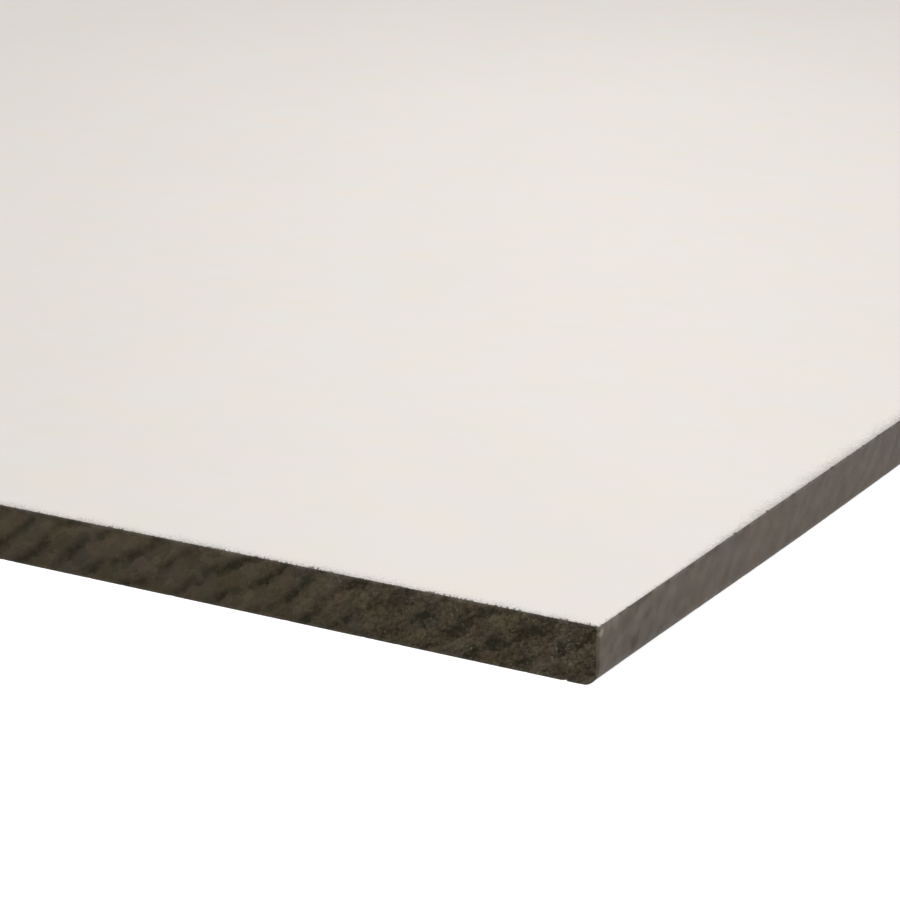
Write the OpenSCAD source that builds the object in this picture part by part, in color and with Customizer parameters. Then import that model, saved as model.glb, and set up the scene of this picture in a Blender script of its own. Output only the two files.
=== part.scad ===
// Compact laminate sheet: one solid board of resin-bonded kraft paper with an
// off-white decor face pressed into each side, sawn square on all four edges.
// It lies face up. Z = 0 is the underside, and the origin is under its middle.
// X runs along the length and Y across the width. The two edges that run the
// length are its sides, at -Y and +Y. The two short edges are its ends, at -X
// and +X, where the saw came out of the underside and its burr was rounded off.

/* [Sheet] */
// Length of the sheet, along X
sheet_l = 2440; // [600:10:4200]
// Width of the sheet, along Y
sheet_w = 1220; // [300:10:1860]
// Thickness of the sheet, both decor faces included
sheet_t = 10; // [4:0.5:20]

/* [Edges] */
// Arris taken off all round the upper face
upper_arris = 0.2; // [0.05:0.05:1]
// Arris taken off under the two long sides
side_arris = 0.1; // [0.05:0.05:2]
// Radius of the rounding under the two short ends
end_round = 2.2; // [0.2:0.1:3]
// Radius of the four upright corners
corner_r = 0.6; // [0.2:0.1:5]

/* [Hidden] */
$fn = 48;
// How far a shape that is cut back to the sheet runs past it
overrun = 1;
decor_white = [0.91, 0.89, 0.86];

// Plan of the sheet: a rectangle with a true arc at each corner.
module plan() {
    inner_l = sheet_l - 2 * corner_r;
    inner_w = sheet_w - 2 * corner_r;
    square([inner_l, sheet_w], center = true);
    square([sheet_l, inner_w], center = true);
    for (x = [-1, 1], y = [-1, 1])
        translate([x * inner_l / 2, y * inner_w / 2]) circle(r = corner_r);
}

// Section across a span. Its upper edges have an arris, and its lower edges are
// cut back to an arris or, where round is set, to a true quarter circle.
module section(span, lower, round = false) {
    half = span / 2;
    inner = half - lower;
    polygon([
        [-inner, 0],
        [inner, 0],
        if (round) [inner, lower],
        [half, lower],
        [half, sheet_t - upper_arris],
        [half - upper_arris, sheet_t],
        [-half + upper_arris, sheet_t],
        [-half, sheet_t - upper_arris],
        [-half, lower],
        if (round) [-inner, lower]
    ]);
    if (round)
        for (x = [-inner, inner]) translate([x, lower]) circle(r = lower);
}

// A board with the arrises of the two long sides, running past both ends.
module board_with_sides() {
    rotate([90, 0, 90])
        linear_extrude(height = sheet_l + 2 * overrun, center = true)
            section(sheet_w, side_arris);
}

// A board with the rounded short ends, running past both sides.
module board_with_ends() {
    rotate([90, 0, 0])
        linear_extrude(height = sheet_w + 2 * overrun, center = true)
            section(sheet_l, end_round, round = true);
}

// The whole sheet, one solid: what the plan and the two boards have in common.
module sheet() {
    color(decor_white)
        intersection() {
            linear_extrude(height = sheet_t) plan();
            board_with_sides();
            board_with_ends();
        }
}

sheet();
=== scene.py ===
"""A compact laminate sheet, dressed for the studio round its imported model.

The sheet is drawn in three closed pieces, in the order that they were pressed: a
core of dark kraft paper between two thin decor papers. One ring of points after
another goes down its edge, from the upper face to the underside, and each piece
takes its own share of them. Lengths are in metres unless a name says otherwise.
"""

import logging
import math
from dataclasses import dataclass, field, replace
from enum import Enum

import bpy
import numpy as np
from mathutils import Matrix, Vector, geometry, noise


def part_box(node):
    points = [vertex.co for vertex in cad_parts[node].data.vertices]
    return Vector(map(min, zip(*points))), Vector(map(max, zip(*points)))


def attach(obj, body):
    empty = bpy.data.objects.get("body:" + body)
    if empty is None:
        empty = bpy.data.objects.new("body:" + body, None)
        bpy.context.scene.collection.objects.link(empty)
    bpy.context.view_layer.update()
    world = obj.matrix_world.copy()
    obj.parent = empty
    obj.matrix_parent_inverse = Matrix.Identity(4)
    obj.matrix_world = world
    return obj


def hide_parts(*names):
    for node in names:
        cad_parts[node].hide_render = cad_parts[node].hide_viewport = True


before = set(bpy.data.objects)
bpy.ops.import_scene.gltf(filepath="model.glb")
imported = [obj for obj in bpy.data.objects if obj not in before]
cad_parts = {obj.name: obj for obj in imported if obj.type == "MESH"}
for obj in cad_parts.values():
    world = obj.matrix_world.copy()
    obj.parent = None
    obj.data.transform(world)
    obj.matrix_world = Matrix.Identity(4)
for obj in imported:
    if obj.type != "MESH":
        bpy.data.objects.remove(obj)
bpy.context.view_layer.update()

log = logging.getLogger("laminate_sheet")

MM = 0.001
PER_METRE_MM = 1000.0

Colour = tuple[float, float, float]
Point = tuple[float, float, float]
Socket = bpy.types.NodeSocket
Outputs = bpy.types.NodeOutputs
Number = Socket | float


class Cut(Enum):
    """How an edge was sawn. The value is its material's index on the core."""

    SIDE = 0
    END = 1


def smooth_step(low: float, high: float, value: np.ndarray) -> np.ndarray:
    """Rises smoothly from 0 at low to 1 at high.

    Args:
        low: Where the rise begins.
        high: Where it ends.
        value: The numbers to place on it.

    Returns:
        A number from 0 to 1 for each value.
    """
    t = np.clip((value - low) / (high - low), 0.0, 1.0)
    return t * t * (3.0 - 2.0 * t)


def noise_at(x: np.ndarray, y: np.ndarray, seed: float) -> np.ndarray:
    """Samples smooth noise.

    Args:
        x: First coordinate of each sample, in noise cells.
        y: Second coordinate of each sample.
        seed: A third coordinate, which sets one use apart from another.

    Returns:
        Noise of about -1 to 1, in the shape of x and y.
    """
    x, y = np.broadcast_arrays(x, y)
    flat = [noise.noise((a, b, seed)) for a, b in zip(x.ravel(), y.ravel())]
    return np.array(flat).reshape(x.shape)


# ---------------------------------------------------------------------------
# The shape of the sheet
# ---------------------------------------------------------------------------


@dataclass
class Rim:
    """The columns that stand round the sheet's edge.

    Attributes:
        plan: Their places in plan.
        outward: The outward direction at each.
        step: The distance from each to the next.
    """

    plan: np.ndarray
    outward: np.ndarray
    step: np.ndarray

    # How far along X a column on an end faces at least.
    END_TURN = 0.3

    @property
    def gap(self) -> np.ndarray:
        """The wider of the two spacings beside each column."""
        return np.maximum(self.step, np.roll(self.step, 1))

    @property
    def along(self) -> np.ndarray:
        """A distance along each edge that runs on without a jump, x + y."""
        return self.plan.sum(axis=1)

    @property
    def is_end(self) -> np.ndarray:
        """Whether each column is on a short end, or on most of a corner's arc."""
        return np.abs(self.outward[:, 0]) > self.END_TURN

    def pick(self, end: np.ndarray, side: np.ndarray) -> np.ndarray:
        """Takes each column's number from the end's or from the side's."""
        return np.where(self.is_end, end, side)


@dataclass(frozen=True)
class Outline:
    """The sheet's plan, and how closely the columns of its edge stand along it.

    The columns stand closest at the near corner, where +X meets -Y.

    Attributes:
        half_length: Half the size along X.
        half_width: Half the size along Y.
        radius: Radius of the upright corners.
        fine_step: Spacing of the columns near the near corner.
        coarse_step: The widest spacing.
        growth: How much the spacing grows for each metre further away.
        fine_end: How far the fine spacing reaches along the end.
        fine_side: How far it reaches along the side.
        arc_steps: Columns round each corner's arc.
    """

    half_length: float
    half_width: float
    radius: float
    fine_step: float = 0.3 * MM
    coarse_step: float = 10 * MM
    growth: float = 0.04
    fine_end: float = 185 * MM
    fine_side: float = 125 * MM
    arc_steps: int = 6

    def stops(self, run: float, length: float, around: float) -> list[float]:
        """Divides one straight edge into columns.

        Args:
            run: Distance gone round the outline where the edge begins.
            length: The edge's length.
            around: Length of the whole outline.

        Returns:
            Distances from the edge's beginning, both ends among them.
        """
        found = [0.0]
        while found[-1] < length:
            gone = run + found[-1]
            past_end = max(gone - self.fine_end, 0.0)
            past_side = max(around - gone - self.fine_side, 0.0)
            step = self.fine_step + self.growth * min(past_end, past_side)
            found.append(found[-1] + min(step, self.coarse_step))
        return [d * length / found[-1] for d in found]

    def trace(self) -> Rim:
        """Walks round the outline from the near corner, by way of the +X end.

        Returns:
            The columns.
        """
        inner = np.array([self.half_length - self.radius, self.half_width - self.radius])
        straights = [2 * inner[1], 2 * inner[0], 2 * inner[1], 2 * inner[0]]
        quarter = math.pi / 2
        around = sum(straights) + 4 * quarter * self.radius
        signs = [(1, -1), (1, 1), (-1, 1), (-1, -1)]
        places, outward = [], []
        run = 0.0
        for corner, (sign, length) in enumerate(zip(signs, straights)):
            centre = inner * sign
            for i in range(self.arc_steps):
                angle = (corner - 1 + (i + 0.5) / self.arc_steps) * quarter
                direction = np.array([math.cos(angle), math.sin(angle)])
                places.append(centre + self.radius * direction)
                outward.append(direction)
            run += self.radius * quarter
            angle = corner * quarter
            direction = np.array([math.cos(angle), math.sin(angle)])
            along = np.array([-direction[1], direction[0]])
            stops = self.stops(run, length, around)
            places.extend(centre + self.radius * direction + along * d for d in stops)
            outward.extend([direction] * len(stops))
            run += length
        plan = np.array(places)
        step = np.linalg.norm(np.roll(plan, -1, axis=0) - plan, axis=1)
        return Rim(plan, np.array(outward), step)


@dataclass(frozen=True)
class SawMarks:
    """The slanting marks that a saw blade leaves along an edge.

    Both the mesh and the finish draw them, from the same sum of sines. The finish
    also sets them off in small steps, flake by flake.

    Attributes:
        pitch_mm: Distance between marks along the edge.
        slant: Their angle above the edge's length, in degrees.
        width: Width of a mark as a share of the pitch.
        sway: How far the marks stray from a straight line, in pitches.
    """

    pitch_mm: float
    slant: float
    width: float
    sway: float

    # How fast the two waves of the sway run, in radians a pitch.
    SHORT_SWAY = 2.3
    LONG_SWAY = 0.83

    def strength(self, along: np.ndarray, height: np.ndarray) -> np.ndarray:
        """Works out how deep in a mark each point is.

        Args:
            along: Distance along the edge of each point.
            height: Its height above the underside.

        Returns:
            A number from 0, between marks, to 1, in the middle of one.
        """
        slant = math.radians(self.slant)
        along, height = along * PER_METRE_MM, height * PER_METRE_MM
        across = along * math.sin(slant) - height * math.cos(slant)
        forward = along * math.cos(slant) + height * math.sin(slant)
        turn = across / (self.pitch_mm * math.sin(slant))
        turn = turn + self.sway * np.sin(forward / self.pitch_mm * self.SHORT_SWAY)
        turn = turn + self.sway * np.sin(along / self.pitch_mm * self.LONG_SWAY)
        from_middle = 2 * np.abs(turn - np.floor(turn) - 0.5)
        return 1.0 - smooth_step(0.0, 2 * self.width, from_middle)


@dataclass(frozen=True)
class SawnRelief:
    """The relief that a saw leaves on one kind of edge, as depth into the sheet.

    The mesh holds a pattern in full where its columns stand closer than HELD_UNTIL
    times the pattern's size, and not at all where they stand wider than LOST_FROM.

    Attributes:
        marks: The blade's marks.
        mark_depth: How deep they are.
        tear_depth: Depth of the torn fibre between them.
        tear_size: Size of one torn patch.
        pit_depth: Depth of the finest pits.
        pit_size: Size of one pit.
        seed: Sets this edge's noise apart.
    """

    marks: SawMarks
    mark_depth: float
    tear_depth: float
    tear_size: float
    pit_depth: float
    pit_size: float
    seed: float

    HELD_UNTIL, LOST_FROM = 0.5, 1.5

    def depth(self, along: np.ndarray, height: np.ndarray, gap: np.ndarray) -> np.ndarray:
        """Works out the relief, without what the mesh is too coarse to hold.

        Args:
            along: Distance along the edge of each point.
            height: Its height above the underside.
            gap: The spacing of the columns there.

        Returns:
            The depth into the sheet at each point, never below 0.
        """
        marks = self.marks.strength(along, height)
        tears = noise_at(along / self.tear_size, height / self.tear_size, self.seed)
        pits = noise_at(along / self.pit_size, height / self.pit_size, -self.seed)
        mark_size = self.marks.pitch_mm * self.marks.width * MM
        parts = (
            (self.mark_depth, marks, mark_size),
            (self.tear_depth, 0.5 + 0.5 * tears, self.tear_size),
            (self.pit_depth, np.clip(pits, 0.0, None), self.pit_size),
        )
        total = np.zeros(np.broadcast_shapes(along.shape, height.shape))
        for most, pattern, size in parts:
            held = 1.0 - smooth_step(size * self.HELD_UNTIL, size * self.LOST_FROM, gap)
            total = total + most * held * pattern
        return total


@dataclass(frozen=True)
class Chips:
    """Small bites out of an arris.

    They fade out where the columns stand from one bite's size to LOST_FROM apart.

    Attributes:
        reach: How far in a large bite goes.
        size: Length of one along the edge.
        rarity: Noise level that a bite starts at. More is rarer.
        seed: Sets this edge's bites apart.
    """

    reach: float
    size: float
    rarity: float
    seed: float

    LOST_FROM = 3

    def depth(self, rim: Rim) -> np.ndarray:
        """Works out how far in the arris is bitten.

        Args:
            rim: The columns.

        Returns:
            The depth of the bite at each column, mostly 0.
        """
        level = noise_at(rim.along / self.size, np.zeros_like(rim.along), self.seed)
        bite = np.clip(level - self.rarity, 0.0, None) / (1.0 - self.rarity)
        lost = smooth_step(self.size, self.LOST_FROM * self.size, rim.gap)
        return self.reach * bite * (1.0 - lost)


@dataclass(frozen=True)
class Nick:
    """One dent under the arris of the front side.

    Attributes:
        from_end: How far its middle is from the +X end.
        width: Its width along the edge.
        depth: How far up it goes.
    """

    from_end: float
    width: float
    depth: float

    def rise(self, rim: Rim, half_length: float) -> np.ndarray:
        """Works out how far the arris is pushed up at each column.

        Args:
            rim: The columns.
            half_length: Half the sheet's length.

        Returns:
            The rise, 0 away from the nick.
        """
        off = np.abs(half_length - self.from_end - rim.plan[:, 0])
        here = (rim.plan[:, 1] < 0) & ~rim.is_end
        return self.depth * here * (1.0 - smooth_step(0.0, self.width / 2, off))


@dataclass
class Atlas:
    """Where a piece's faces lie on its flat map: its edge in rows, its faces above.

    Attributes:
        rows: Rows that the edge is cut into.
        row_units: Height of a row, in units of 1/1024 of the map.
        face_units: Height of the band that each face gets.
        bands: How far down its row each ring lies, from 0 to 1.
        evenness: How little the near corner is favoured, from 0 to 1.
    """

    rows: int
    row_units: float
    face_units: tuple[float, float]
    bands: np.ndarray
    evenness: float = 0.65

    # The map's own width in units, the gap beside a row or band, and the room that a
    # row keeps at its end, all in those units.
    UNITS = 1024.0
    MARGIN = 4.0
    SLACK = 24.0

    def strip(self, rim: Rim) -> np.ndarray:
        """Lays the edge's quads in rows.

        Args:
            rim: The columns.

        Returns:
            Corner places by band, column and corner.
        """
        room = self.UNITS - 2 * self.MARGIN
        width = rim.step**self.evenness
        width *= self.rows * (room - self.SLACK) / width.sum()
        left = np.zeros(len(width))
        row = np.zeros(len(width))
        at, level = 0.0, 0
        for i, wide in enumerate(width):
            if at + wide > room:
                at, level = 0.0, level + 1
            left[i], row[i] = at, level
            at += wide
        left += self.MARGIN
        right = left + width
        bottom = self.MARGIN + row * (self.row_units + self.MARGIN)
        upper = bottom + self.row_units * (1 - self.bands[:-1, None])
        lower = bottom + self.row_units * (1 - self.bands[1:, None])
        left, right = (np.broadcast_to(x, upper.shape) for x in (left, right))
        corners = ((left, upper), (left, lower), (right, lower), (right, upper))
        return np.stack([np.stack(c, axis=-1) for c in corners], axis=2) / self.UNITS

    def face(self, points: np.ndarray, low: Vector, high: Vector, which: int) -> np.ndarray:
        """Lays a face's points flat in its band.

        Args:
            points: Their places.
            low: The sheet's lowest corner.
            high: Its highest corner.
            which: 0 for the upper face, 1 for the lower.

        Returns:
            Their places on the map.
        """
        share = (points[:, :2] - low[:2]) / (np.array(high[:2]) - low[:2])
        above = self.MARGIN + self.rows * (self.row_units + self.MARGIN)
        above += sum(self.face_units[:which]) + which * self.MARGIN
        wide = self.UNITS - 2 * self.MARGIN
        place = np.array([self.MARGIN, above]) + share * [wide, self.face_units[which]]
        return place / self.UNITS


@dataclass
class LaminateSheet:
    """The rings of points down the sheet's edge, and the pieces made from them.

    Attributes:
        low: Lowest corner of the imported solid.
        high: Its highest corner.
        reliefs: The relief of each kind of edge.
        upper_arris: Arris taken off round the upper face.
        side_arris: Arris taken off under the long sides.
        end_round: Radius of the rounding under the short ends.
        heavy_round: How much larger it is at the near corner, where it was begun, and
            how much smaller where it is lightest.
        lightest_at: How far from the near corner it is lightest.
        settled_at: How far from there it has settled at its own radius.
        corner_radius: Radius of the upright corners.
        decor: Thickness of a decor paper.
        border: Width of the band of finer faces round each face.
        face_rows: Rows of faces up each sawn edge.
        arris_rows: Rows of faces down the core's share of the upper arris.
        round_rows: Rows of faces down its share of the lower edges.
        corner_zone: How far from a corner the arrises' mitre is spread.
        corner_calm: How far from a corner the relief takes to grow.
        chip_fall: How far down a chip goes, as a share of its depth.
        widening: Insets of the rings of points inside each face.
        chips: The bites out of the upper arris of each kind of edge.
        frays: The bites out of the lower arris of each kind of edge.
        nick: The dent under the front side.
    """

    low: Vector
    high: Vector
    reliefs: dict[Cut, SawnRelief]
    upper_arris: float = 0.2 * MM
    side_arris: float = 0.1 * MM
    end_round: float = 2.2 * MM
    heavy_round: float = 0.28
    lightest_at: float = 90 * MM
    settled_at: float = 270 * MM
    corner_radius: float = 0.6 * MM
    decor: float = 0.06 * MM
    border: float = 3 * MM
    face_rows: int = 28
    arris_rows: int = 3
    round_rows: int = 6
    corner_zone: float = 6 * MM
    corner_calm: float = 1.2 * MM
    chip_fall: float = 0.35
    widening: tuple[float, ...] = (6 * MM, 15 * MM, 40 * MM, 100 * MM, 250 * MM)
    chips: dict[Cut, Chips] = field(default_factory=lambda: {
        Cut.SIDE: Chips(reach=0.9 * MM, size=0.7 * MM, rarity=0.32, seed=5.3),
        Cut.END: Chips(reach=0.8 * MM, size=1.5 * MM, rarity=0.26, seed=9.9),
    })
    frays: dict[Cut, Chips] = field(default_factory=lambda: {
        Cut.SIDE: Chips(reach=0.25 * MM, size=1.3 * MM, rarity=0.30, seed=15.3),
        Cut.END: Chips(reach=0.20 * MM, size=1.9 * MM, rarity=0.35, seed=19.9),
    })
    nick: Nick = Nick(from_end=5.5 * MM, width=1.8 * MM, depth=0.45 * MM)

    # How much rounder a ring inside a face is, for its inset.
    INNER_ROUNDING = 0.25
    # Places tried down the lower slope, to find where the lower decor paper begins.
    SLOPE_TRIES = 33
    # Share of a row of the map, at each border, that the core's flat faces get.
    MAP_BRINK = 0.04

    def __post_init__(self) -> None:
        """Stands the columns round the sheet and makes their rings."""
        self.half = np.array([self.high.x - self.low.x, self.high.y - self.low.y]) / 2
        self.rim = self.outline(0.0).trace()
        near = np.array([self.half[0], -self.half[1]])
        away = np.linalg.norm(self.rim.plan - near, axis=1)
        # From 1 at the near corner to -1 where it is lightest, and to 0 further on.
        fade = 1.0 - 2.0 * smooth_step(0.0, self.lightest_at, away)
        fade = fade + smooth_step(self.lightest_at, self.settled_at, away)
        self.round = self.end_round * (1.0 + self.heavy_round * fade)
        self.rings = self.make_rings()
        self.inside, self.filling = self.fill_face(self.rings["upper border"])

    def outline(self, inset: float) -> Outline:
        """Gives the sheet's plan, or a ring inside it with fewer columns.

        Args:
            inset: How far inside the sheet's own plan the ring lies.

        Returns:
            The outline.
        """
        return Outline(
            half_length=float(self.half[0]) - inset,
            half_width=float(self.half[1]) - inset,
            radius=self.corner_radius + inset * self.INNER_ROUNDING,
            fine_step=max(Outline.fine_step, inset),
            coarse_step=max(Outline.coarse_step, inset),
        )

    def ring(
        self, from_end: np.ndarray | float, from_side: np.ndarray | float, z: float
    ) -> np.ndarray:
        """Makes a level ring, with the columns near a corner drawn together.

        Args:
            from_end: How far in from an end the ring goes.
            from_side: How far in from a side.
            z: Its height.

        Returns:
            A point for each column.
        """
        plan = self.rim.plan
        insets = [np.broadcast_to(inset, len(plan)) for inset in (from_end, from_side)]
        shift = np.stack(insets, axis=1)
        left = np.clip(1.0 - (self.half - np.abs(plan)) / self.corner_zone, 0.0, 1.0)
        flat = plan - np.sign(plan) * shift * left
        return np.concatenate([flat, np.full((len(plan), 1), z)], axis=1)

    def lower_surface(self, plan: np.ndarray) -> np.ndarray:
        """Gives the height of the sheet's lower surface above the underside.

        Args:
            plan: Points in plan, one for each column.

        Returns:
            The height: the rounding's under an end, the arris's under a side.
        """
        inset = self.half - np.abs(plan)
        left = np.clip(1.0 - inset[:, 0] / self.round, 0.0, 1.0)
        rounding = self.round * (1.0 - np.sqrt(1.0 - left**2))
        return np.maximum(rounding, np.clip(self.side_arris - inset[:, 1], 0.0, None))

    def make_rings(self) -> dict[str, np.ndarray]:
        """Places every ring, from the upper face down.

        Returns:
            Rings by name: one ring, or a stack of them.
        """
        rim, top = self.rim, self.high.z
        bite = rim.pick(self.chips[Cut.END].depth(rim), self.chips[Cut.SIDE].depth(rim))
        fray = rim.pick(self.frays[Cut.END].depth(rim), self.frays[Cut.SIDE].depth(rim))
        fray = fray + self.nick.rise(rim, float(self.half[0]))
        foot = self.low.z + self.lower_surface(rim.plan)
        shoulder = top - self.upper_arris - self.chip_fall * bite

        up = np.linspace(1.0, 0.0, self.face_rows + 1)[:, None]
        height = foot + fray + up * (shoulder - foot - fray)
        along, gap = rim.along[None, :], rim.gap[None, :]
        relief = rim.pick(
            self.reliefs[Cut.END].depth(along, height, gap),
            self.reliefs[Cut.SIDE].depth(along, height, gap),
        )
        from_corner = (self.half - np.abs(rim.plan)).max(axis=1)
        relief = relief * smooth_step(0.0, self.corner_calm, from_corner)
        flat = rim.plan[None] - rim.outward[None] * relief[:, :, None]
        wall = np.concatenate([flat, height[:, :, None]], axis=2)

        brow = self.ring(self.upper_arris + bite, self.upper_arris + bite, top)
        down = self.decor / (brow[:, 2] - wall[0, :, 2])
        under_decor = brow + (wall[0] - brow) * down[:, None]
        part = (np.arange(1, self.arris_rows) / self.arris_rows)[:, None, None]
        sole = self.ring(self.round + fray, self.side_arris + fray, self.low.z)
        lower = self.lower_slope(wall[-1], sole)
        return {
            "upper border": self.ring(self.border, self.border, top),
            "brow": brow,
            "under decor": under_decor,
            "upper slope": under_decor + (wall[0] - under_decor) * part,
            "wall": wall,
            "lower slope": lower[:-1],
            "over decor": lower[-1],
            "sole": sole,
        }

    def lower_slope(self, foot: np.ndarray, sole: np.ndarray) -> np.ndarray:
        """Carries the core from the foot of its wall down to the lower decor paper.

        Args:
            foot: The lowest ring of the wall, with its dents.
            sole: The ring where the underside begins.

        Returns:
            A stack of rings on the rounding or the arris, without the first one.
        """
        plan, low = self.rim.plan, self.low.z
        smooth = self.ring(self.round, self.side_arris, low)
        smooth_foot = np.column_stack([plan, low + self.lower_surface(plan)])

        def on_surface(share: np.ndarray) -> np.ndarray:
            """Places a ring this share of the way to the sole, on the lower surface."""
            flat = plan + (smooth[:, :2] - plan) * share[:, None]
            return np.column_stack([flat, low + self.lower_surface(flat)])

        tries = 1.0 - np.cos(np.linspace(0.0, math.pi / 2, self.SLOPE_TRIES))
        heights = [on_surface(np.full(len(plan), share))[:, 2] - low for share in tries]
        down_to_decor = np.array([
            np.interp(-self.decor, -column, tries) for column in np.array(heights).T
        ])
        rings = []
        for row in range(1, self.round_rows + 1):
            turn = math.pi / 2 * row / self.round_rows
            share = down_to_decor * (1.0 - math.cos(turn))
            dents = (foot - smooth_foot) * (1.0 - share)[:, None]
            rings.append(on_surface(share) + dents + (sole - smooth) * share[:, None])
        return np.array(rings)

    def fill_face(self, border: np.ndarray) -> tuple[np.ndarray, np.ndarray]:
        """Fills a face with triangles that widen away from its border.

        Args:
            border: The border's points, in order.

        Returns:
            The new points in plan, and triangles that count the border's first.
        """
        count = len(border)
        rings = [self.outline(inset).trace().plan for inset in self.widening]
        flat = np.concatenate([border[:, :2], *rings])
        edges = [(i, (i + 1) % count) for i in range(count)]
        inside_only, close = 1, 1e-9
        _, _, triangles, origins = geometry.delaunay_2d_cdt(
            [Vector(p) for p in flat.tolist()], edges, [], inside_only, close
        )[:4]
        where = np.array([min(o) for o in origins])
        used = np.unique(np.array(triangles))
        fresh = [i for i in used if where[i] >= count]
        number = where.copy()
        number[fresh] = count + np.arange(len(fresh))
        return flat[where[fresh]], number[np.array(triangles)]

    def piece(
        self, name: str, rings: np.ndarray, atlas: Atlas, sharp: tuple[int, ...]
    ) -> bpy.types.Object:
        """Makes a closed piece from a stack of rings and a filling at each end.

        Args:
            name: The piece's name.
            rings: The rings, from the upper border to the lower.
            atlas: Where its faces lie on its map.
            sharp: Rings that are a sharp edge.

        Returns:
            The piece, with no finish yet.
        """
        # The edge, in quads that run from one ring down to the next.
        rows, columns = rings.shape[:2]
        here = np.arange(columns)
        after = np.roll(here, -1)
        down = np.arange(rows - 1)[:, None] * columns
        quads = [down + here, down + columns + here, down + columns + after, down + after]
        quads = np.stack(quads, axis=2).reshape(-1, 4)

        # The two faces, whose own points come after those of the rings.
        last = (rows - 1) * columns
        rim_points = rings.reshape(-1, 3)
        level = [rings[0, 0, 2], rings[-1, 0, 2]]
        fills = [np.pad(self.inside, ((0, 0), (0, 1)), constant_values=z) for z in level]
        count, more = len(rim_points), len(self.inside)
        upper = np.where(self.filling < columns, self.filling, self.filling - columns + count)
        lower = np.where(
            self.filling < columns, self.filling + last, self.filling - columns + count + more
        )
        points = np.concatenate([rim_points, *fills])
        triangles = np.concatenate([upper, lower[:, ::-1]])

        mesh = bpy.data.meshes.new(name)
        mesh.from_pydata(points.tolist(), [], quads.tolist() + triangles.tolist())
        mesh.polygons.foreach_set("use_smooth", np.ones(len(mesh.polygons), dtype=bool))
        self.mark_sharp(mesh, columns, count, sharp)
        strip = atlas.strip(self.rim).reshape(-1, 2)
        faces = [
            atlas.face(points[part.ravel()], self.low, self.high, which)
            for which, part in enumerate((upper, lower[:, ::-1]))
        ]
        flat_map = mesh.uv_layers.new(name="OFBake")
        flat_map.uv.foreach_set(
            "vector", np.concatenate([strip, *faces]).astype(np.float32).ravel()
        )
        made = bpy.data.objects.new(name, mesh)
        bpy.context.scene.collection.objects.link(made)
        return made

    def mark_sharp(
        self, mesh: bpy.types.Mesh, columns: int, ringed: int, sharp: tuple[int, ...]
    ) -> None:
        """Marks whole rings as sharp edges.

        Args:
            mesh: The piece's mesh.
            columns: Points in a ring.
            ringed: Points in all the rings, which come first in the mesh.
            sharp: The rings to mark.
        """
        ends = np.empty(len(mesh.edges) * 2, dtype=np.int32)
        mesh.edges.foreach_get("vertices", ends)
        ends = ends.reshape(-1, 2)
        ring = ends // columns
        level = (ring[:, 0] == ring[:, 1]) & (ends < ringed).all(axis=1)
        marks = mesh.attributes.new("sharp_edge", "BOOLEAN", "EDGE")
        marks.data.foreach_set("value", level & np.isin(ring[:, 0], sharp))

    def build(self) -> dict[str, bpy.types.Object]:
        """Makes the three pieces.

        Returns:
            The pieces by name.
        """
        rings = self.rings
        upper_in, lower_in = rings["upper border"].copy(), rings["upper border"].copy()
        upper_in[:, 2] = self.high.z - self.decor
        lower_in[:, 2] = self.low.z + self.decor
        ground = rings["upper border"].copy()
        ground[:, 2] = self.low.z

        upper = [rings["upper border"], rings["brow"], rings["under decor"], upper_in]
        lower = [lower_in, rings["over decor"], rings["sole"], ground]
        core = np.concatenate([
            [upper_in, rings["under decor"]], rings["upper slope"], rings["wall"],
            rings["lower slope"], [rings["over decor"], lower_in],
        ])
        drop = np.linalg.norm(np.diff(core[1:-1], axis=0), axis=2).mean(axis=1)
        spread = np.concatenate([[0.0], np.cumsum(drop)]) / drop.sum()
        on_edge = self.MAP_BRINK + (1.0 - 2 * self.MAP_BRINK) * spread
        core_map = Atlas(
            rows=17, row_units=48.0, face_units=(60.0, 60.0),
            bands=np.concatenate([[0.0], on_edge, [1.0]]),
        )
        upper_map = Atlas(
            rows=14, row_units=16.0, face_units=(620.0, 90.0),
            bands=np.array([0.0, 0.7, 0.92, 1.0]),
        )
        lower_map = replace(
            upper_map, face_units=(90.0, 620.0), bands=np.array([0.0, 0.08, 0.3, 1.0])
        )
        core_sharp = (0, 1, len(core) - 2, len(core) - 1)
        return {
            "kraft_core": self.piece("kraft_core", core, core_map, core_sharp),
            "upper_decor": self.piece("upper_decor", np.array(upper), upper_map, (1, 2, 3)),
            "lower_decor": self.piece("lower_decor", np.array(lower), lower_map, (0, 1, 2)),
        }


# ---------------------------------------------------------------------------
# Finishes
# ---------------------------------------------------------------------------


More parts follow.
